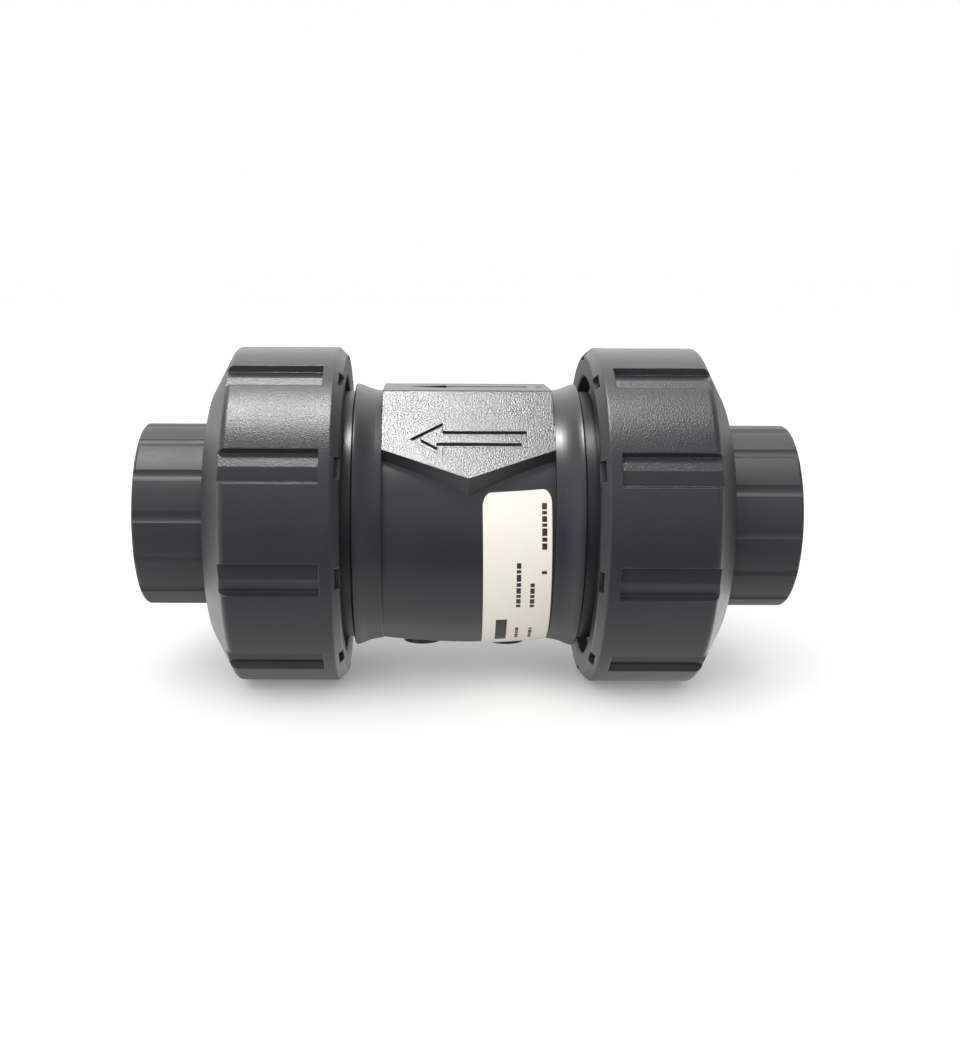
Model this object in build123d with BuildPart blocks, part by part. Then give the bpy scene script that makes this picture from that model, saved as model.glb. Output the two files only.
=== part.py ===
"""Union check valve, socket ends for 20 mm plastic pipe.

The flow axis is X. Flow runs from the inlet on the right (+X) to the outlet on the left (-X).
+Z is the flat top with the flow arrow and -Y is the side with the front panel. The origin is
the centre of the body on the flow axis. All sizes are in millimetres.
"""
from math import cos, radians, sin
import os

from build123d import *

os.makedirs("parts", exist_ok=True)

INLET = 1
OUTLET = -1

# ---- driving dimensions ------------------------------------------------------------------
overall_length = 95.3
seal_face = 28.0            # end faces of the body, measured from its centre
face_gap = 0.3              # the valve ends stand this far off the body's end faces
overshoot = 1.0             # how far a cut runs past the material

# union thread, right hand, on both ends of the body
thread_pitch = 3.0
ridge_turns = 2.7
groove_turns = 3.2
thread_start = 19.0
thread_core_radius = 18.1
thread_major_radius = 19.9
thread_sink = 0.3           # how far the ridge reaches into the core
ridge_root_width = 1.7
ridge_crest_width = 0.8
thread_clearance = 0.35
thread_shoulder = 0.3       # width of the step and of the chamfer at the ends of the thread's core

# outside of the body
neck_radius = 18.5
collar_x = 16.2
collar_radius = 19.7
collar_face_width = 0.7     # nearly cylindrical stretch at the collar's edge
collar_flare = 2.4          # the collar widens from the waist over this length
collar_draft = 0.15
collar_sink = 2.0           # how far the collars reach into the barrel
flare_round = 6.0
collar_edge_round = 0.25
waist_x = 12.15
waist_radius = 18.6
waist_rise = 0.25
barrel_end_x = 12.8         # the barrel's ends are buried in the collars
barrel_end_radius = 17.5
barrel_end_drop = 0.95
barrel_middle_radius = 18.0
barrel_middle_drop = 1.25
top_height = 19.25
slope_offset = 18.5         # distance of the slanted panels from the flow axis
panel_corner_z = 11.6
panel_apex_z = 8.05
ledge_run = 6.0
ledge_direction = (0, 0.45, -0.89)
top_edge_round = 0.6

# flow arrow engraved in the top
arrow_depth = 0.5
arrow_tip_x = -8.6
arrow_head_x = -2.9
arrow_tail_x = 9.1
arrow_dot_x = 10.8
arrow_dot_radius = 0.56
arrow_half_width = 2.4
shaft_half_width = 0.8

# outline of an arrow engraved in the front panel
mark_depth = 0.35
mark_centre_z = 12.9
mark_half_length = 8.2
mark_head_length = 4.6
mark_half_width = 2.9
mark_line = 0.8

# bosses and screw inserts under the body
boss_spacing = 12.7
boss_radius = 2.9
boss_height = 19.5
boss_root_z = 13.9          # the bosses start inside the wall of the barrel
insert_radius = 2.1
insert_hole_radius = 1.25
insert_hole_depth = 3.6
insert_length = 4.5

# flow passage in the body
port_radius = 7.5
bush_bore_radius = 13.9
bush_shoulder_x = 12.9
chamber_radius = 12.9
chamber_outlet_x = -14.0
chamber_taper = 3.0
outlet_bore_radius = 11.5
guide_shoulder_x = -23.8
seal_counterbore_radius = 16.85
seal_counterbore_depth = 2.2

# O-rings
face_seal_mean_radius = 15.6
face_seal_section = 2.2
bush_seal_section = 1.72
bush_seal_mean_radius = 13.02
bush_seal_x = 18.0
bush_seal_side_gap = 0.15

# seat and valve cone
insert_ring_radius = 13.8   # outside of the union bush and of the cone guide
seat_lip_x = 12.2
seat_lip_radius = 9.0
seat_lip_taper = 0.4
seat_gap = 0.05
seating_gap = 0.02          # air between parts that are seated on each other
bush_recess = 0.05          # bush and guide stand this far inside the body's end faces
bush_edge = 0.8             # chamfer where the port opens
bush_flange_radius = 10.0
wrench_slot_width = 2.5
wrench_slot_depth = 2.0
wrench_slot_inner_radius = 9.0
cone_travel = 6.0
cone_head_radius = 9.9
cone_rim = 1.6
cone_taper = 8.5            # the cone narrows to its stem over this length
cone_root_round = 4.0
seal_thickness = 2.2
seal_inner_radius = 5.0
seal_chamfer = 0.5
stud_radius = 2.5
stud_length = 1.2           # the stud's end in front of the seal
clamp_radius = 7.1
clamp_rim = 0.9
clamp_taper = 4.2
clamp_height = 4.8
stem_chamfer = 0.6
stem_radius = 2.4
stem_collar_radius = 3.6
stem_end_x = -24.0
guide_clearance = 0.08
guide_hub_radius = 4.4
guide_hub_x = -20.0
guide_rib_width = 2.0
guide_rib_count = 3
stop_gap = 0.3

# valve ends
end_collar_radius = 17.5
end_collar_length = 4.6
sleeve_radius = 13.57
socket_radius = 10.05
socket_depth = 16.0
socket_chamfer = 1.0
socket_flare = 0.6          # how much the chamfer opens the socket
end_edge_round = 0.5
sleeve_groove_count = 14
sleeve_groove_width = 1.8
sleeve_groove_depth = 0.3
sleeve_groove_start = 2.5   # the flutes begin this far inside the nut's end face
sleeve_groove_angles = {OUTLET: 33.2, INLET: 24.9}

# union nuts
nut_radius = 25.0
nut_inner_face = 17.5
nut_rim_end = 19.6
nut_cone_x = 33.45
nut_end_face = 36.85
nut_end_radius = 18.7
nut_rim_bore = 20.8
nut_minor_radius = 18.6
nut_hole_radius = 14.05
nut_chamfer = 1.2
nut_chamfer_round = 0.5
nut_rim_round = 0.6
nut_cone_round = 1.0
nut_bore_round = 0.4
nut_shoulder_gap = 0.3
grip_count = 10
grip_width = 4.9
grip_depth = 0.9
grip_draft = 0.42           # the groove's side walls lean out by this much
grip_ridge = 0.35
grip_floor_fall = 0.1       # the sides of the floor lie this much below its depth
grip_start = 20.3
notch_width = 3.0
notch_depth = 1.0
notch_radii = (23.2, 24.4)
grip_angles = {OUTLET: 24.5, INLET: 23.6}

# rating label
label_start_x = 2.2
label_end_x = 11.8
label_top_angle = 18.5
label_bottom_angle = -79.0
label_glue = 0.06
label_thickness = 0.12
label_corner = 1.2
label_skew = 1.2

# ---- derived dimensions ------------------------------------------------------------------
half_length = overall_length / 2
socket_floor = half_length - socket_depth
end_face_x = seal_face + face_gap
end_collar_x = end_face_x + end_collar_length
nut_shoulder_x = end_collar_x + nut_shoulder_gap
slope_sum = slope_offset * 2 ** 0.5     # y + z on a slanted panel
seal_back_x = seat_lip_x - seat_gap - seal_thickness
seal_front_x = seat_lip_x - seat_gap
bush_face_x = seal_face - bush_recess
stem_collar_x = guide_hub_x + cone_travel + stop_gap


# ---- helpers -----------------------------------------------------------------------------
def around(angle, radius):
    """Y and Z of a point at an angle measured from the front (-Y) towards the top (+Z)."""
    return -radius * cos(radians(angle)), radius * sin(radians(angle))


def turned(points, rounds=()):
    """Solid of revolution about the flow axis from (x, radius) points.

    rounds holds ((x, radius), fillet) pairs for the corners that are rounded."""
    with BuildPart() as solid:
        with BuildSketch(Plane.XY) as profile:
            with BuildLine():
                Polyline(*points, close=True)
            make_face()
            for (x, radius), size in rounds:
                corner = profile.vertices().sort_by_distance((x, radius, 0))[0]
                fillet(corner, size)
        revolve(axis=Axis.X)
    return solid.part


def o_ring(x, mean_radius, section):
    """Torus about the flow axis."""
    with BuildPart() as ring:
        with BuildSketch(Plane.XY):
            with Locations((x, mean_radius)):
                Circle(section / 2)
        revolve(axis=Axis.X)
    return ring.part


def thread_ridge(side, turns, clearance=0.0):
    """Right-hand trapezoid ridge of the union thread on one end of the body.

    With a clearance and more turns it is the groove that the ridge runs in."""
    root_radius = thread_core_radius - thread_sink
    crest_radius = thread_major_radius + clearance
    root = ridge_root_width / 2 + clearance
    crest = ridge_crest_width / 2 + clearance
    with BuildPart() as ridge:
        with BuildLine() as path:
            Helix(
                pitch=thread_pitch,
                height=turns * thread_pitch,
                radius=root_radius,
                center=(side * thread_start, 0, 0),
                direction=(side, 0, 0),
            )
        begin = path.line @ 0
        outwards = Vector(0, begin.Y, begin.Z).normalized()
        across = Vector(1, 0, 0).cross(outwards)
        with BuildSketch(Plane(origin=(begin.X, 0, 0), x_dir=(1, 0, 0), z_dir=across)):
            with BuildLine():
                Polyline(
                    (-root, root_radius),
                    (root, root_radius),
                    (crest, crest_radius),
                    (-crest, crest_radius),
                    close=True,
                )
            make_face()
        sweep(path=path.line, is_frenet=True)
    return ridge.part


def save(solid, name):
    """Label a finished piece and write it."""
    solid.label = name
    export_step(solid, f"parts/{name}.step")


def barrel(extra):
    """Barrel between the waists, swelling a little towards the underside."""
    sections = (
        (-barrel_end_x, barrel_end_radius, barrel_end_drop),
        (0, barrel_middle_radius, barrel_middle_drop),
        (barrel_end_x, barrel_end_radius, barrel_end_drop),
    )
    with BuildPart() as solid:
        for x, radius, drop in sections:
            with BuildSketch(Plane(origin=(x, 0, -drop), x_dir=(0, 1, 0), z_dir=(1, 0, 0))):
                Circle(radius + extra)
        loft()
    return solid.part


# ---- valve body --------------------------------------------------------------------------
def body_half(side):
    """Threaded end, neck and flared collar on one side, as a solid of revolution."""
    points = [
        (0, 0),
        (0, barrel_end_radius - collar_sink),
        (waist_x, barrel_end_radius - collar_sink),
        (waist_x, waist_radius),
        (collar_x - collar_flare, waist_radius + waist_rise),
        (collar_x - collar_face_width, collar_radius - collar_draft),
        (collar_x, collar_radius),
        (collar_x + collar_draft, neck_radius),
        (thread_start - thread_shoulder, neck_radius),
        (thread_start, thread_core_radius),
        (seal_face - thread_shoulder, thread_core_radius),
        (seal_face, thread_core_radius - thread_shoulder),
        (seal_face, 0),
    ]
    rounds = (
        ((side * (collar_x - collar_flare), waist_radius + waist_rise), flare_round),
        ((side * (collar_x - collar_face_width), collar_radius - collar_draft), flare_round / 2),
        ((side * collar_x, collar_radius), collar_edge_round),
    )
    return turned([(side * x, radius) for x, radius in points], rounds)


def panel_plane():
    """Plane of the front panel: x along the flow axis, y up the slope, z outwards."""
    return Plane(origin=(0, -slope_sum / 2, slope_sum / 2), x_dir=(1, 0, 0), z_dir=(0, -1, 1))


def up_slope(z):
    """Distance up the front panel of the points at a height."""
    return (z - slope_sum / 2) * 2 ** 0.5


# One slanted panel with its V-shaped lower edge, and the ledge under it.
with BuildPart() as panel_block:
    with BuildSketch(panel_plane()):
        with BuildLine():
            Polyline(
                (-waist_x, up_slope(top_height)),
                (-waist_x, up_slope(panel_corner_z)),
                (0, up_slope(panel_apex_z)),
                (waist_x, up_slope(panel_corner_z)),
                (waist_x, up_slope(top_height)),
                close=True,
            )
        make_face()
    extrude(amount=ledge_run, dir=ledge_direction)

# Raised crown: flat top between two slanted panels.
with BuildPart() as crown:
    add(panel_block.part)
    mirror(panel_block.part, about=Plane.XZ)
    with BuildSketch(Plane.YZ.offset(-waist_x)):
        with BuildLine():
            Polyline(
                (slope_sum - top_height, top_height),
                (slope_sum - top_height, 0),
                (top_height - slope_sum, 0),
                (top_height - slope_sum, top_height),
                close=True,
            )
        make_face()
    extrude(amount=2 * waist_x)
    top_edges = crown.edges().filter_by(Axis.X).group_by(Axis.Z)[-1]
    fillet(top_edges, top_edge_round)

with BuildPart() as valve_body:
    for side in (INLET, OUTLET):
        add(body_half(side))
        add(thread_ridge(side, ridge_turns))
    add(barrel(0))
    add(crown.part)

    # bosses for the screw inserts
    with BuildSketch(Plane.XY.offset(-boss_height)):
        with GridLocations(boss_spacing, 1, 2, 1):
            Circle(boss_radius)
    extrude(amount=boss_height - boss_root_z)

    # flow arrow and its dot in the flat top
    with BuildSketch(Plane.XY.offset(top_height)):
        with BuildLine():
            Polyline(
                (arrow_tip_x, 0),
                (arrow_head_x, arrow_half_width),
                (arrow_head_x, shaft_half_width),
                (arrow_tail_x, shaft_half_width),
                (arrow_tail_x, -shaft_half_width),
                (arrow_head_x, -shaft_half_width),
                (arrow_head_x, -arrow_half_width),
                close=True,
            )
        make_face()
        with Locations((arrow_dot_x, 0)):
            Circle(arrow_dot_radius)
    extrude(amount=-arrow_depth, mode=Mode.SUBTRACT)

    # outline of an arrow in the front panel, pointing the way of the flow
    neck_x = -mark_half_length + mark_head_length
    mark_v = up_slope(mark_centre_z)
    with BuildSketch(panel_plane()) as mark:
        with BuildLine():
            Polyline(
                (-mark_half_length, mark_v),
                (neck_x, mark_v + mark_half_width),
                (neck_x, mark_v + mark_half_width / 2),
                (mark_half_length, mark_v + mark_half_width / 2),
                (mark_half_length, mark_v - mark_half_width / 2),
                (neck_x, mark_v - mark_half_width / 2),
                (neck_x, mark_v - mark_half_width),
                close=True,
            )
        make_face()
        offset(amount=-mark_line, kind=Kind.INTERSECTION, mode=Mode.SUBTRACT)
    extrude(amount=-mark_depth, mode=Mode.SUBTRACT)

    # flow passage with the seats of the union bush, the cone guide and the face seals
    passage = [
        (seal_face + overshoot, 0),
        (seal_face + overshoot, seal_counterbore_radius),
        (seal_face - seal_counterbore_depth, seal_counterbore_radius),
        (seal_face - seal_counterbore_depth, bush_bore_radius),
        (bush_shoulder_x, bush_bore_radius),
        (bush_shoulder_x, chamber_radius),
        (chamber_outlet_x, chamber_radius),
        (chamber_outlet_x - chamber_taper, outlet_bore_radius),
        (guide_shoulder_x, outlet_bore_radius),
        (guide_shoulder_x, bush_bore_radius),
        (seal_counterbore_depth - seal_face, bush_bore_radius),
        (seal_counterbore_depth - seal_face, seal_counterbore_radius),
        (-seal_face - overshoot, seal_counterbore_radius),
        (-seal_face - overshoot, 0),
    ]
    add(turned(passage), mode=Mode.SUBTRACT)

    # pockets for the screw inserts
    with BuildSketch(Plane.XY.offset(-boss_height)):
        with GridLocations(boss_spacing, 1, 2, 1):
            Circle(insert_radius)
    extrude(amount=insert_length, mode=Mode.SUBTRACT)
save(valve_body.part, "valve_body")

# ---- screw inserts under the body --------------------------------------------------------
with BuildPart() as mounting_inserts:
    with BuildSketch(Plane.XY.offset(-boss_height)):
        with GridLocations(boss_spacing, 1, 2, 1):
            Circle(insert_radius)
    extrude(amount=insert_length)
    with BuildSketch(Plane.XY.offset(-boss_height)):
        with GridLocations(boss_spacing, 1, 2, 1):
            Circle(insert_hole_radius)
    extrude(amount=insert_hole_depth, mode=Mode.SUBTRACT)
save(mounting_inserts.part, "mounting_inserts")

# ---- union bush with the valve seat ------------------------------------------------------
bush_back_x = bush_shoulder_x + seating_gap
bush_groove_half = bush_seal_section / 2 + bush_seal_side_gap
bush_groove_radius = bush_seal_mean_radius - bush_seal_section / 2
with BuildPart() as union_bush:
    add(
        turned(
            [
                (bush_back_x, bush_flange_radius),
                (bush_back_x, insert_ring_radius),
                (bush_seal_x - bush_groove_half, insert_ring_radius),
                (bush_seal_x - bush_groove_half, bush_groove_radius),
                (bush_seal_x + bush_groove_half, bush_groove_radius),
                (bush_seal_x + bush_groove_half, insert_ring_radius),
                (bush_face_x, insert_ring_radius),
                (bush_face_x, port_radius + bush_edge),
                (bush_face_x - bush_edge, port_radius),
                (seat_lip_x, port_radius),
                (seat_lip_x, seat_lip_radius),
                (bush_back_x, seat_lip_radius + seat_lip_taper),
            ]
        )
    )
    # slots for the assembly wrench
    with BuildSketch(Plane.YZ.offset(bush_face_x)):
        Rectangle(2 * (insert_ring_radius + overshoot), wrench_slot_width)
        Rectangle(wrench_slot_width, 2 * (insert_ring_radius + overshoot))
        Circle(wrench_slot_inner_radius, mode=Mode.SUBTRACT)
    extrude(amount=-wrench_slot_depth, mode=Mode.SUBTRACT)
save(union_bush.part, "union_bush")
save(o_ring(bush_seal_x, bush_seal_mean_radius, bush_seal_section), "union_bush_o_ring")

# ---- valve cone, its profile seal and the clamp that holds the seal ------------------------
cone = turned(
    [
        (seal_front_x + stud_length, 0),
        (seal_front_x + stud_length, stud_radius),
        (seal_back_x, stud_radius),
        (seal_back_x, cone_head_radius),
        (seal_back_x - cone_rim, cone_head_radius),
        (seal_back_x - cone_taper, stem_collar_radius),
        (stem_collar_x, stem_collar_radius),
        (stem_collar_x, stem_radius),
        (stem_end_x + stem_chamfer, stem_radius),
        (stem_end_x, stem_radius - stem_chamfer),
        (stem_end_x, 0),
    ],
    rounds=(((seal_back_x - cone_taper, stem_collar_radius), cone_root_round),),
)
save(cone, "cone")

cone_seal = turned(
    [
        (seal_back_x, seal_inner_radius),
        (seal_back_x, cone_head_radius),
        (seal_front_x - seal_chamfer, cone_head_radius),
        (seal_front_x, cone_head_radius - seal_chamfer),
        (seal_front_x, seal_inner_radius),
    ]
)
save(cone_seal, "cone_seal")

cone_seal_clamp = turned(
    [
        (seal_back_x, stud_radius),
        (seal_back_x, seal_inner_radius),
        (seal_front_x, seal_inner_radius),
        (seal_front_x, clamp_radius),
        (seal_front_x + clamp_rim, clamp_radius),
        (seal_front_x + clamp_taper, stud_radius),
        (seal_front_x + clamp_height, 0),
        (seal_front_x + stud_length, 0),
        (seal_front_x + stud_length, stud_radius),
    ]
)
save(cone_seal_clamp, "cone_seal_clamp")

# ---- guide that carries the cone's stem --------------------------------------------------
guide_face_x = -bush_face_x
guide_back_x = guide_shoulder_x - seating_gap
guide_rib_length = outlet_bore_radius + overshoot
with BuildPart() as cone_guide:
    add(
        turned(
            [
                (guide_back_x, outlet_bore_radius),
                (guide_back_x, insert_ring_radius),
                (guide_face_x, insert_ring_radius),
                (guide_face_x, outlet_bore_radius),
            ]
        )
    )
    add(
        turned(
            [
                (guide_hub_x, 0),
                (guide_hub_x, guide_hub_radius - stem_chamfer),
                (guide_hub_x - stem_chamfer, guide_hub_radius),
                (guide_face_x, guide_hub_radius),
                (guide_face_x, 0),
            ]
        )
    )
    with BuildSketch(Plane.YZ.offset(guide_back_x)):
        with PolarLocations(0, guide_rib_count, start_angle=90):
            with Locations((guide_rib_length / 2, 0)):
                Rectangle(guide_rib_length, guide_rib_width)
    extrude(amount=guide_face_x - guide_back_x)
    with BuildSketch(Plane.YZ.offset(guide_hub_x + overshoot)):
        Circle(stem_radius + guide_clearance)
    extrude(amount=guide_face_x - guide_hub_x - 2 * overshoot, mode=Mode.SUBTRACT)
save(cone_guide.part, "cone_guide")

# ---- face seals ---------------------------------------------------------------------------
face_seal_x = seal_face - seal_counterbore_depth + face_seal_section / 2 + seating_gap
save(o_ring(face_seal_x, face_seal_mean_radius, face_seal_section), "inlet_face_seal")
save(o_ring(-face_seal_x, face_seal_mean_radius, face_seal_section), "outlet_face_seal")


# ---- valve ends ---------------------------------------------------------------------------
def valve_end(side):
    """Collar held by the union nut, and the sleeve with the pipe socket."""
    points = [
        (end_face_x, port_radius),
        (end_face_x, end_collar_radius),
        (end_collar_x, end_collar_radius),
        (end_collar_x, sleeve_radius),
        (half_length, sleeve_radius),
        (half_length, socket_radius + socket_flare),
        (half_length - socket_chamfer, socket_radius),
        (socket_floor, socket_radius),
        (socket_floor, port_radius),
    ]
    rounds = (
        ((side * end_face_x, end_collar_radius), end_edge_round),
        ((side * half_length, sleeve_radius), end_edge_round),
    )
    with BuildPart() as end:
        add(turned([(side * x, radius) for x, radius in points], rounds))
        # shallow grip flutes along the sleeve
        flute_radius = (sleeve_groove_width / 2) ** 2 / (2 * sleeve_groove_depth) + sleeve_groove_depth / 2
        flute_start = nut_end_face - sleeve_groove_start
        with BuildSketch(Plane.YZ.offset(side * flute_start)):
            for index in range(sleeve_groove_count):
                angle = sleeve_groove_angles[side] + index * 360 / sleeve_groove_count
                with Locations(around(angle, sleeve_radius - sleeve_groove_depth + flute_radius)):
                    Circle(flute_radius)
        extrude(amount=side * (half_length + overshoot - flute_start), mode=Mode.SUBTRACT)
    return end.part


save(valve_end(INLET), "inlet_valve_end")
save(valve_end(OUTLET), "outlet_valve_end")


# ---- union nuts ---------------------------------------------------------------------------
def union_nut(side):
    """Nut with ten grip grooves, rim notches and the inner half of the union thread."""
    points = [
        (nut_inner_face, nut_rim_bore),
        (nut_inner_face, nut_radius - nut_chamfer),
        (nut_inner_face + nut_chamfer, nut_radius),
        (nut_cone_x, nut_radius),
        (nut_end_face, nut_end_radius),
        (nut_end_face, nut_hole_radius),
        (nut_shoulder_x, nut_hole_radius),
        (nut_shoulder_x, nut_minor_radius),
        (nut_rim_end + nut_rim_bore - nut_minor_radius, nut_minor_radius),
        (nut_rim_end, nut_rim_bore),
    ]
    rounds = (
        ((side * nut_inner_face, nut_radius - nut_chamfer), nut_chamfer_round),
        ((side * (nut_inner_face + nut_chamfer), nut_radius), nut_rim_round),
        ((side * nut_cone_x, nut_radius), nut_cone_round),
        ((side * nut_end_face, nut_end_radius), nut_cone_round),
        ((side * nut_end_face, nut_hole_radius), nut_bore_round),
        ((side * nut_inner_face, nut_rim_bore), nut_bore_round),
    )
    floor_radius = nut_radius - grip_depth
    floor_half = grip_width / 2 - grip_draft
    mouth_half = grip_width / 2 + grip_draft * overshoot / grip_depth
    groove = [
        (-mouth_half, nut_radius + overshoot),
        (-floor_half, floor_radius - grip_floor_fall),
        (0, floor_radius + grip_ridge),
        (floor_half, floor_radius - grip_floor_fall),
        (mouth_half, nut_radius + overshoot),
    ]
    angles = [grip_angles[side] + index * 360 / grip_count for index in range(grip_count)]
    with BuildPart() as nut:
        add(turned([(side * x, radius) for x, radius in points], rounds))
        add(thread_ridge(side, groove_turns, thread_clearance), mode=Mode.SUBTRACT)
        # grip grooves, closed at the inner end and running out through the cone
        for angle in angles:
            y, z = around(angle, 1)
            across = Vector(1, 0, 0).cross(Vector(0, y, z))
            with BuildSketch(Plane(origin=(side * grip_start, 0, 0), x_dir=across, z_dir=(1, 0, 0))):
                with BuildLine():
                    Polyline(*[(u, -v) for u, v in groove], close=True)
                make_face()
            extrude(amount=side * (nut_end_face + overshoot - grip_start), mode=Mode.SUBTRACT)
        # small pockets in the chamfer of the inner rim, in line with the grooves
        pocket_start = nut_inner_face - overshoot
        for angle in angles:
            y, z = around(angle, 1)
            across = Vector(1, 0, 0).cross(Vector(0, y, z))
            with BuildSketch(Plane(origin=(side * pocket_start, 0, 0), x_dir=across, z_dir=(1, 0, 0))):
                with Locations((0, -(notch_radii[0] + notch_radii[1]) / 2)):
                    Rectangle(notch_width, notch_radii[1] - notch_radii[0])
            extrude(amount=side * (overshoot + notch_depth), mode=Mode.SUBTRACT)
    return nut.part


save(union_nut(INLET), "inlet_union_nut")
save(union_nut(OUTLET), "outlet_union_nut")


# ---- rating label -------------------------------------------------------------------------
label_middle = (label_top_angle + label_bottom_angle) / 2
label_half_angle = (label_top_angle - label_bottom_angle) / 2
label_plane = Plane(
    origin=((label_start_x + label_end_x) / 2, 0, 0),
    x_dir=(1, 0, 0),
    z_dir=(0, *around(label_middle, 1)),
)
with BuildPart() as rating_label:
    add(barrel(label_glue + label_thickness))
    add(barrel(label_glue), mode=Mode.SUBTRACT)
    # the outline is projected square on to the barrel
    with BuildSketch(label_plane):
        RectangleRounded(
            label_end_x - label_start_x,
            2 * barrel_middle_radius * sin(radians(label_half_angle)),
            label_corner,
            rotation=label_skew,
        )
    extrude(amount=nut_radius, mode=Mode.INTERSECT)
save(rating_label.part, "rating_label")
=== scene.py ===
"""Looks of the union check valve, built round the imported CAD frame. Metres, same frame as the CAD."""

import math
from itertools import cycle

import bmesh
import bpy
from mathutils import Matrix, Vector
from mathutils.bvhtree import BVHTree


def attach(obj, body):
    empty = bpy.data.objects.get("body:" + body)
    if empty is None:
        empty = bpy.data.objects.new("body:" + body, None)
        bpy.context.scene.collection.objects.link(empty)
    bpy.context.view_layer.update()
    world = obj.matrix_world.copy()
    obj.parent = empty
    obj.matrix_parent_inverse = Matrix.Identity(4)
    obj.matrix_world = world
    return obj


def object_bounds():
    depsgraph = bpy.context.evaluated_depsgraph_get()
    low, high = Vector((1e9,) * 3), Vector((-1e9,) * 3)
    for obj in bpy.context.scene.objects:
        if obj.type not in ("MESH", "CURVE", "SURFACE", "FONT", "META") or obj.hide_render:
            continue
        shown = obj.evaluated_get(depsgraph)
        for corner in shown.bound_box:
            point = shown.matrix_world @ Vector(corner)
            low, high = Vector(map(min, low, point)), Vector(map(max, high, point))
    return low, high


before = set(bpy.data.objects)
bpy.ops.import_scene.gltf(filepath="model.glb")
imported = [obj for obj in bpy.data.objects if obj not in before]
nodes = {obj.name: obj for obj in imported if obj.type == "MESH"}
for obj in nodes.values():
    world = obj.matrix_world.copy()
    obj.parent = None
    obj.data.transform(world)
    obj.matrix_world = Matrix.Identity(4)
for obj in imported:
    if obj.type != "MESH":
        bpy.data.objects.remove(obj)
cad_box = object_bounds()
scene = bpy.context.scene
MM = 0.001

# ---- materials --------------------------------------------------------------------------------
DARK_GREY = ((0.0175, 0.018, 0.0205), (0.0215, 0.022, 0.0245))      # body, nuts and valve ends
MID_GREY = ((0.040, 0.043, 0.047), (0.050, 0.053, 0.058))           # parts inside
DUST_WEAR_AND_HIGHLIGHT_GREY = (0.10, 0.105, 0.11)   # worn edges and dust; on the edges it is also a painted highlight
GRAIN_SIZE = 4500                   # scale of the moulded grain's noise
FINE_GRAIN_SIZE = 2600              # scale of the faint texture inside and of the dust
GRAIN_DEPTH = 0.042 * MM
EDGE_RADIUS = 0.15 * MM             # how wide moulded edges look rounded
NUT_EDGE_RADIUS = 0.25 * MM
PANEL_SLOPE = 25.5 * MM             # |y| + z on the slanted panels of the crown
PANEL_SLOPE_BAND = 0.1 * MM
PANEL_HALF_LENGTH = 12.16 * MM
PANEL_TOP = 19.1 * MM
PANEL_POLISH = 0.11                 # how much less rough the panels are than the rest of the body


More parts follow.
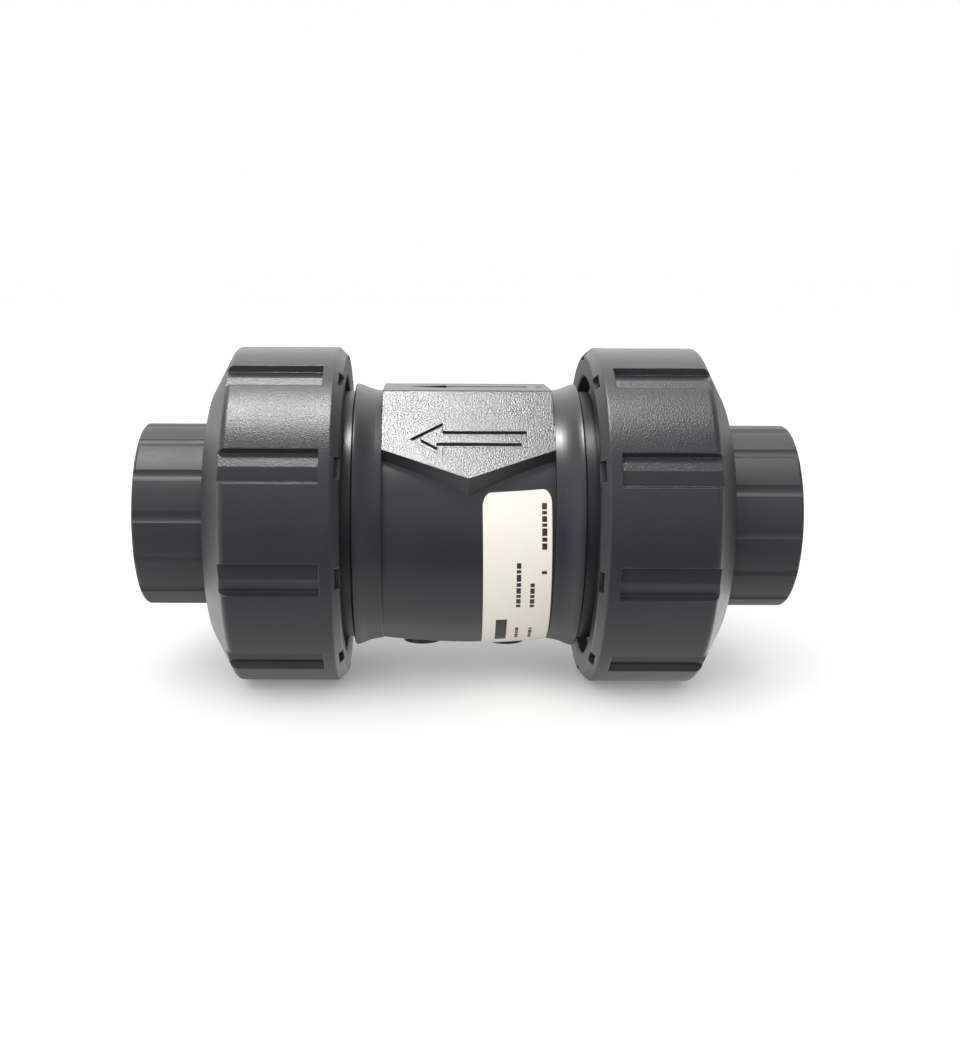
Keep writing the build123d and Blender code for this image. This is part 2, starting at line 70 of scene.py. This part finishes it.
class Shader:
    """A Principled material with a small helper for each kind of node it needs."""

    def __init__(self, name, **uniform):
        self.material = bpy.data.materials.new(name)
        self.material.use_nodes = True
        self.tree = self.material.node_tree
        self.bsdf = self.tree.nodes["Principled BSDF"]
        self.coords = self.tree.nodes.new("ShaderNodeTexCoord").outputs["Object"]
        for key, value in uniform.items():
            self.bsdf.inputs[key.replace("_", " ")].default_value = value

    def link(self, source, target):
        self.tree.links.new(source, target)

    def noise(self, scale, detail=4.0, roughness=0.5, stretch=(1, 1, 1)):
        """Noise in the object's own coordinates, in waves per metre."""
        mapping = self.tree.nodes.new("ShaderNodeMapping")
        mapping.inputs["Scale"].default_value = stretch
        self.link(self.coords, mapping.inputs["Vector"])
        node = self.tree.nodes.new("ShaderNodeTexNoise")
        node.inputs["Scale"].default_value = scale
        node.inputs["Detail"].default_value = detail
        node.inputs["Roughness"].default_value = roughness
        self.link(mapping.outputs["Vector"], node.inputs["Vector"])
        return node.outputs["Fac"]

    def ramp(self, value, low, high, colours):
        """Colour ramp between two values."""
        node = self.tree.nodes.new("ShaderNodeValToRGB")
        for element, position, colour in zip(node.color_ramp.elements, (low, high), colours):
            element.position = position
            element.color = (*colour, 1)
        self.link(value, node.inputs["Fac"])
        return node.outputs["Color"]

    def span(self, value, low, high, to_low, to_high):
        """A value mapped from one range to another and clamped."""
        node = self.tree.nodes.new("ShaderNodeMapRange")
        ends = {"From Min": low, "From Max": high, "To Min": to_low, "To Max": to_high}
        for key, number in ends.items():
            node.inputs[key].default_value = number
        self.link(value, node.inputs["Value"])
        return node.outputs["Result"]

    def math(self, operation, *values):
        """Maths node on sockets or plain numbers."""
        node = self.tree.nodes.new("ShaderNodeMath")
        node.operation = operation
        for socket, value in zip(node.inputs, values):
            if isinstance(value, (int, float)):
                socket.default_value = value
            else:
                self.link(value, socket)
        return node.outputs["Value"]

    def place(self):
        """The point's own x, y and z."""
        node = self.tree.nodes.new("ShaderNodeSeparateXYZ")
        self.link(self.coords, node.inputs[0])
        return node.outputs

    def mix(self, factor, a, b):
        """Colour b over colour a by a factor. The mix node's colour sockets have numbers, not names."""
        node = self.tree.nodes.new("ShaderNodeMix")
        node.data_type = "RGBA"
        self.link(factor, node.inputs["Factor"])
        for socket, value in ((node.inputs[6], a), (node.inputs[7], b)):
            if isinstance(value, tuple):
                socket.default_value = (*value, 1)
            else:
                self.link(value, socket)
        return node.outputs[2]

    def soft_normal(self, radius):
        """Surface normal with its sharp edges rounded over a radius."""
        node = self.tree.nodes.new("ShaderNodeBevel")
        node.samples = 6
        node.inputs["Radius"].default_value = radius
        return node.outputs["Normal"]

    def edge(self, soft):
        """How much a point lies near a sharp edge: 1 on the edge, 0 on a flat."""
        geometry = self.tree.nodes.new("ShaderNodeNewGeometry").outputs["Normal"]
        node = self.tree.nodes.new("ShaderNodeVectorMath")
        node.operation = "DOT_PRODUCT"
        self.link(soft, node.inputs[0])
        self.link(geometry, node.inputs[1])
        return self.span(node.outputs["Value"], 0.99, 0.86, 0, 1)

    def bump(self, height, distance, under=None):
        """Normal of a surface raised by a height, on top of another normal if there is one."""
        node = self.tree.nodes.new("ShaderNodeBump")
        node.inputs["Distance"].default_value = distance
        self.link(height, node.inputs["Height"])
        if under is not None:
            self.link(under, node.inputs["Normal"])
        return node.outputs["Normal"]

    def finish(self, colour, roughness, normal):
        """Join the three inputs that every material has, and give the material."""
        self.link(colour, self.bsdf.inputs["Base Color"])
        self.link(roughness, self.bsdf.inputs["Roughness"])
        self.link(normal, self.bsdf.inputs["Normal"])
        return self.material


def crown_panels(s):
    """1 on the slanted panels of the body, 0 elsewhere."""
    x, y, z = s.place()
    slope = s.math("ADD", s.math("ABSOLUTE", y), z)
    on_slope = s.span(slope, PANEL_SLOPE - PANEL_SLOPE_BAND, PANEL_SLOPE + PANEL_SLOPE_BAND, 0, 1)
    on_crown = s.math("LESS_THAN", s.math("ABSOLUTE", x), PANEL_HALF_LENGTH)
    below_top = s.math("LESS_THAN", z, PANEL_TOP)
    return s.math("MULTIPLY", s.math("MULTIPLY", on_slope, on_crown), below_top)


def moulded_plastic(name, tones, gloss, grain_size, grain_depth, edge_radius=EDGE_RADIUS, textured=None):
    """Grey rigid plastic: cloudy tone, moulded grain, softened edges, lighter rubbed edges that are
    partly a painted highlight, a little dust.

    gloss is the least and the most roughness. textured gives the part of the surface that has the
    grain and the polish, and without it the grain is everywhere and the polish nowhere."""
    s = Shader(name, IOR=1.5)
    soft = s.soft_normal(edge_radius)
    tone = s.ramp(s.noise(60, 3), 0.3, 0.7, tones)
    dust = s.span(s.noise(FINE_GRAIN_SIZE, 2, 0.6), 0.76, 0.80, 0, 0.25)
    tone = s.mix(dust, tone, DUST_WEAR_AND_HIGHLIGHT_GREY)
    # Lighter sharp edges: partly rubbed wear and partly a painted highlight along every sharp edge.
    wear_and_highlight = s.math("MULTIPLY", s.edge(soft), s.span(s.noise(240, 4), 0.40, 0.65, 0.05, 0.35))
    colour = s.mix(wear_and_highlight, tone, DUST_WEAR_AND_HIGHLIGHT_GREY)
    roughness = s.span(s.noise(110, 5, 0.65, (1, 2, 2)), 0.3, 0.7, *gloss)
    grain = s.noise(grain_size, 2, 0.6)
    if textured is not None:
        mask = textured(s)
        grain = s.math("MULTIPLY", grain, mask)
        roughness = s.math("SUBTRACT", roughness, s.math("MULTIPLY", mask, PANEL_POLISH))
    normal = s.bump(grain, grain_depth, soft)
    return s.finish(colour, roughness, normal)


def rubber(name):
    """Matt black seal rubber with a faint bloom."""
    s = Shader(name, IOR=1.5)
    colour = s.ramp(s.noise(300, 4), 0.35, 0.7, ((0.010, 0.010, 0.011), (0.022, 0.022, 0.023)))
    roughness = s.span(s.noise(500, 3), 0.3, 0.7, 0.5, 0.7)
    return s.finish(colour, roughness, s.bump(s.noise(1800, 3), 0.02 * MM))


def steel(name):
    """Turned stainless steel."""
    s = Shader(name, Metallic=1.0)
    colour = s.ramp(s.noise(700, 3), 0.3, 0.7, ((0.42, 0.42, 0.41), (0.62, 0.61, 0.59)))
    roughness = s.span(s.noise(900, 3), 0.3, 0.7, 0.22, 0.4)
    return s.finish(colour, roughness, s.bump(s.noise(2500, 2), 0.01 * MM))


def film(name):
    """Cream label film with slight waves."""
    s = Shader(name, IOR=1.45)
    colour = s.ramp(s.noise(90, 4), 0.3, 0.7, ((0.69, 0.650, 0.580), (0.74, 0.705, 0.640)))
    fibre = s.span(s.noise(1500, 2), 0.66, 0.74, 0, 0.2)
    colour = s.mix(fibre, colour, (0.62, 0.58, 0.52))
    roughness = s.span(s.noise(200, 3), 0.3, 0.7, 0.42, 0.55)
    return s.finish(colour, roughness, s.bump(s.noise(260, 3), 0.03 * MM))


def ink(name):
    """Thermal print on the label, a little uneven."""
    s = Shader(name, IOR=1.45)
    colour = s.ramp(s.noise(2200, 3), 0.35, 0.75, ((0.012, 0.012, 0.013), (0.045, 0.043, 0.042)))
    roughness = s.span(s.noise(900, 3), 0.3, 0.7, 0.45, 0.6)
    return s.finish(colour, roughness, s.bump(s.noise(3000, 2), 0.003 * MM))


def paper_floor(name):
    """Plain pale floor, faintly lit from within so that shadows stay light."""
    s = Shader(name, IOR=1.3)
    colour = s.ramp(s.noise(6, 3), 0.3, 0.7, ((0.90, 0.90, 0.90), (0.93, 0.93, 0.93)))
    roughness = s.span(s.noise(40, 3), 0.3, 0.7, 0.85, 0.95)
    s.link(colour, s.bsdf.inputs["Emission Color"])
    s.bsdf.inputs["Emission Strength"].default_value = 0.16
    return s.finish(colour, roughness, s.bump(s.noise(900, 3), 0.02 * MM))


body_satin = moulded_plastic(
    "body_satin", DARK_GREY, (0.32, 0.38), GRAIN_SIZE, GRAIN_DEPTH, textured=crown_panels
)
nut_textured = moulded_plastic(
    "nut_textured", DARK_GREY, (0.31, 0.37), GRAIN_SIZE, GRAIN_DEPTH, NUT_EDGE_RADIUS
)
end_satin = moulded_plastic("end_satin", DARK_GREY, (0.46, 0.53), GRAIN_SIZE, 0.03 * MM)
inner_smooth = moulded_plastic("inner_smooth", MID_GREY, (0.22, 0.32), FINE_GRAIN_SIZE, 0.005 * MM)
seal_rubber = rubber("seal_rubber")
insert_steel = steel("insert_steel")
label_film = film("label_film")
label_ink = ink("label_ink")

NODE_MATERIALS = {
    "valve_body": body_satin,
    "mounting_inserts": insert_steel,
    "union_bush": inner_smooth,
    "union_bush_o_ring": seal_rubber,
    "cone": inner_smooth,
    "cone_seal": seal_rubber,
    "cone_seal_clamp": inner_smooth,
    "cone_guide": inner_smooth,
    "inlet_face_seal": seal_rubber,
    "outlet_face_seal": seal_rubber,
    "inlet_valve_end": end_satin,
    "outlet_valve_end": end_satin,
    "inlet_union_nut": nut_textured,
    "outlet_union_nut": nut_textured,
    "rating_label": label_film,
}
for node_name, material in NODE_MATERIALS.items():
    mesh = nodes[node_name].data
    mesh.materials.clear()
    mesh.materials.append(material)


# ---- generic print on the label ---------------------------------------------------------------
# Angles round the barrel are in degrees from the front (-Y), up towards the top (+Z).
PRINT_HEIGHT = 0.02 * MM            # a bar stands this proud of the label and reaches as far into it
LABEL_MIDDLE = -30.25               # angle at the middle of the label's height
LABEL_LEAN = math.tan(math.radians(1.2))           # how far the label leans off straight
BARREL_RADIUS = 18.0 * MM
ROW_ANGLE = 1.5                     # how finely a bar follows the barrel
RAY_START = 30 * MM                 # from the flow axis, well outside the label
BLOCK_LENGTHS = (2.6, 1.5, 3.4, 1.9, 2.9, 1.6)     # degrees, in turn along a line
BLOCK_GAP = 0.7

# Lines of blocks: x at the middle of the label's height, width along x, from which angle down to
# which, and which block length comes first.
PRINT_LINES = (
    (7.2 * MM, 0.62 * MM, -12, -36, 0),
    (7.2 * MM, 0.45 * MM, -50, -64, 2),
    (9.15 * MM, 0.62 * MM, -22, -36, 3),
    (9.15 * MM, 0.45 * MM, -51, -64, 1),
    (10.75 * MM, 0.7 * MM, 15, -7, 4),
    (10.75 * MM, 0.7 * MM, -16, -19, 1),
)
PLAIN_BAR = (4.9 * MM, 1.6 * MM, -43, -63)

label_mesh = nodes["rating_label"].data
label_points = [vertex.co for vertex in label_mesh.vertices]
label_tree = BVHTree.FromPolygons(label_points, [face.vertices for face in label_mesh.polygons])


def radial(angle):
    """Unit vector across the flow axis at an angle round the barrel."""
    return Vector((0, -math.cos(math.radians(angle)), math.sin(math.radians(angle))))


def on_label(x, angle, height):
    """Point at a height over the label's outer face."""
    outwards = radial(angle)
    lean = LABEL_LEAN * BARREL_RADIUS * math.sin(math.radians(angle - LABEL_MIDDLE))
    start = Vector((x - lean, 0, 0)) + outwards * RAY_START
    hit, normal, _, _ = label_tree.ray_cast(start, -outwards)
    return hit + normal * height


def print_bar(mesh, x, width, top_angle, bottom_angle):
    """One closed bar of print that follows the label round the barrel."""
    rows = max(2, round(abs(top_angle - bottom_angle) / ROW_ANGLE))
    corners = [(-0.5, 1), (0.5, 1), (0.5, -1), (-0.5, -1)]
    rings = []
    for row in range(rows + 1):
        angle = top_angle + (bottom_angle - top_angle) * row / rows
        points = [on_label(x + side * width, angle, level * PRINT_HEIGHT) for side, level in corners]
        rings.append([mesh.verts.new(point) for point in points])
    for above, below in zip(rings, rings[1:]):
        for k in range(len(corners)):
            following = (k + 1) % len(corners)
            mesh.faces.new((above[k], above[following], below[following], below[k]))
    mesh.faces.new(rings[0])
    mesh.faces.new(reversed(rings[-1]))


def blocks(mesh, x, width, top_angle, bottom_angle, first):
    """A line of uneven blocks in place of words."""
    lengths = cycle(BLOCK_LENGTHS[first:] + BLOCK_LENGTHS[:first])
    angle = top_angle
    length = next(lengths)
    while angle - length > bottom_angle:
        print_bar(mesh, x, width, angle, angle - length)
        angle -= length + BLOCK_GAP
        length = next(lengths)


label_print_mesh = bmesh.new()
print_bar(label_print_mesh, *PLAIN_BAR)
for line in PRINT_LINES:
    blocks(label_print_mesh, *line)
bmesh.ops.recalc_face_normals(label_print_mesh, faces=label_print_mesh.faces)
label_print_data = bpy.data.meshes.new("label_print")
label_print_mesh.to_mesh(label_print_data)
label_print_data.materials.append(label_ink)
label_print = bpy.data.objects.new("label_print", label_print_data)
scene.collection.objects.link(label_print)
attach(label_print, "valve_body")

# ---- floor ------------------------------------------------------------------------------------
FLOOR_HALF = 4.0
floor_z = cad_box[0][2]
floor_mesh = bpy.data.meshes.new("floor")
floor_signs = [(-1, -1), (1, -1), (1, 1), (-1, 1)]
floor_corners = [(x * FLOOR_HALF, y * FLOOR_HALF, floor_z) for x, y in floor_signs]
floor_mesh.from_pydata(floor_corners, [], [(0, 1, 2, 3)])
floor_mesh.materials.append(paper_floor("paper_floor"))
floor = bpy.data.objects.new("floor", floor_mesh)
scene.collection.objects.link(floor)

# ---- camera -----------------------------------------------------------------------------------
LOOK_DOWN = math.radians(11.3)
VIEW_DISTANCE = 200.0 * MM
SIDE_OFFSET = -6.0 * MM
UP_OFFSET = -5.5 * MM
IMAGE_ROLL = math.radians(0.23)
FOCAL_LENGTH = 45.26                # for a 36 mm sensor
SHIFT = (0.0524, 0.0243)            # the photo's cut puts the object off the lens's axis
look = Vector((0, math.cos(LOOK_DOWN), -math.sin(LOOK_DOWN)))
up = Vector((0, math.sin(LOOK_DOWN), math.cos(LOOK_DOWN)))

camera_data = bpy.data.cameras.new("camera")
camera_data.lens = FOCAL_LENGTH
camera_data.sensor_width = 36.0
camera_data.sensor_fit = "AUTO"
camera_data.shift_x, camera_data.shift_y = SHIFT
camera_data.clip_start = 0.01
camera_data.clip_end = 20.0
camera = bpy.data.objects.new("camera", camera_data)
scene.collection.objects.link(camera)
camera_place = Vector((SIDE_OFFSET, 0, 0)) - look * VIEW_DISTANCE + up * UP_OFFSET
axes = Matrix((Vector((1, 0, 0)), up, -look)).transposed()
roll = Matrix.Rotation(IMAGE_ROLL, 4, "Z")
camera.matrix_world = Matrix.Translation(camera_place) @ axes.to_4x4() @ roll
scene.camera = camera

# ---- light ------------------------------------------------------------------------------------
# The floor is left out of reflections and bounces: there the object sees the studio's own glow.
floor.visible_glossy = False
floor.visible_diffuse = False


def far_light(name, towards, spread, strength, gloss_only):
    """A very distant soft light. towards is the direction of the light seen from the object.

    Each light shows either in reflections only (gloss_only) or in everything else only."""
    data = bpy.data.lights.new(name, "SUN")
    data.energy = strength
    data.angle = math.radians(spread)
    light = bpy.data.objects.new(name, data)
    light.rotation_euler = Vector(towards).to_track_quat("Z", "Y").to_euler()
    light.visible_glossy = gloss_only
    light.visible_diffuse = not gloss_only
    scene.collection.objects.link(light)


# Name, direction, spread in degrees, strength, whether it shows in reflections only.
LIGHTS = (
    ("window", (-0.10, -0.13, 0.99), 12, 3.5, True),
    ("front_fill", (-0.2, -1.0, 0.35), 60, 0.9, False),
    ("low_fill", (-0.1, -1.0, 0.12), 30, 0.3, False),
    ("ceiling", (-0.3, -1.0, 1.0), 70, 1.5, False),
)
for row in LIGHTS:
    far_light(*row)

# Glow of the studio in reflections: the direction that it comes from, where it begins and where
# it is full (cosines of the angle from that direction), and its strength. The first one is full
# in every direction.
GLOWS = (
    ("everywhere", (0, 0, 1), -3.0, -2.0, 0.09),
    ("behind", (0, 1, 0), 0.2, 0.8, 0.2),
    ("behind_high", (0, 0.7, 0.7), 0.6, 0.95, 1.6),
    ("below", (0, -0.1, -1.0), 0.5, 0.95, 0.8),
    ("low_left", (-0.65, 0.6, -0.45), 0.8, 0.98, 0.7),
    ("low_right", (0.65, 0.6, -0.45), 0.8, 0.98, 1.3),
    ("front_high", (0, -0.75, 0.66), 0.7, 0.98, 0.45),
    ("left", (-1, 0, 0), 0.2, 0.8, 1.1),
    ("right", (1, 0, 0), 0.2, 0.8, 0.4),
)
AMBIENT = 0.72                      # what bounced light finds in every direction
world = bpy.data.worlds.new("studio")
world.use_nodes = True
tree = world.node_tree
tree.nodes.clear()
direction = tree.nodes.new("ShaderNodeTexCoord").outputs["Generated"]
ray = tree.nodes.new("ShaderNodeLightPath").outputs


def background(strength):
    """Plain white light of the world."""
    node = tree.nodes.new("ShaderNodeBackground")
    node.inputs["Color"].default_value = (1, 1, 1, 1)
    node.inputs["Strength"].default_value = strength
    return node


def choose(factor, otherwise, chosen):
    """One of two world shaders, chosen by a factor of 0 or 1."""
    node = tree.nodes.new("ShaderNodeMixShader")
    for source, socket in zip((factor, otherwise, chosen), node.inputs):
        tree.links.new(source, socket)
    return node.outputs[0]


reflected = background(0.0)
total = None
for name, axis, begins, full, strength in GLOWS:
    cosine = tree.nodes.new("ShaderNodeVectorMath")
    cosine.operation = "DOT_PRODUCT"
    cosine.inputs[1].default_value = axis
    tree.links.new(direction, cosine.inputs[0])
    glow = tree.nodes.new("ShaderNodeMapRange")
    glow.name = name
    glow.interpolation_type = "SMOOTHSTEP"
    for key, number in (("From Min", begins), ("From Max", full), ("To Max", strength)):
        glow.inputs[key].default_value = number
    tree.links.new(cosine.outputs["Value"], glow.inputs["Value"])
    both = tree.nodes.new("ShaderNodeMath")
    both.inputs[0].default_value = 0.0
    tree.links.new(glow.outputs["Result"], both.inputs[1])
    if total is not None:
        tree.links.new(total, both.inputs[0])
    total = both.outputs["Value"]
tree.links.new(total, reflected.inputs["Strength"])
lit = choose(ray["Is Glossy Ray"], background(AMBIENT).outputs[0], reflected.outputs[0])
seen = choose(ray["Is Camera Ray"], lit, background(1.0).outputs[0])
tree.links.new(seen, tree.nodes.new("ShaderNodeOutputWorld").inputs["Surface"])
scene.world = world
scene.view_settings.view_transform = "Standard"
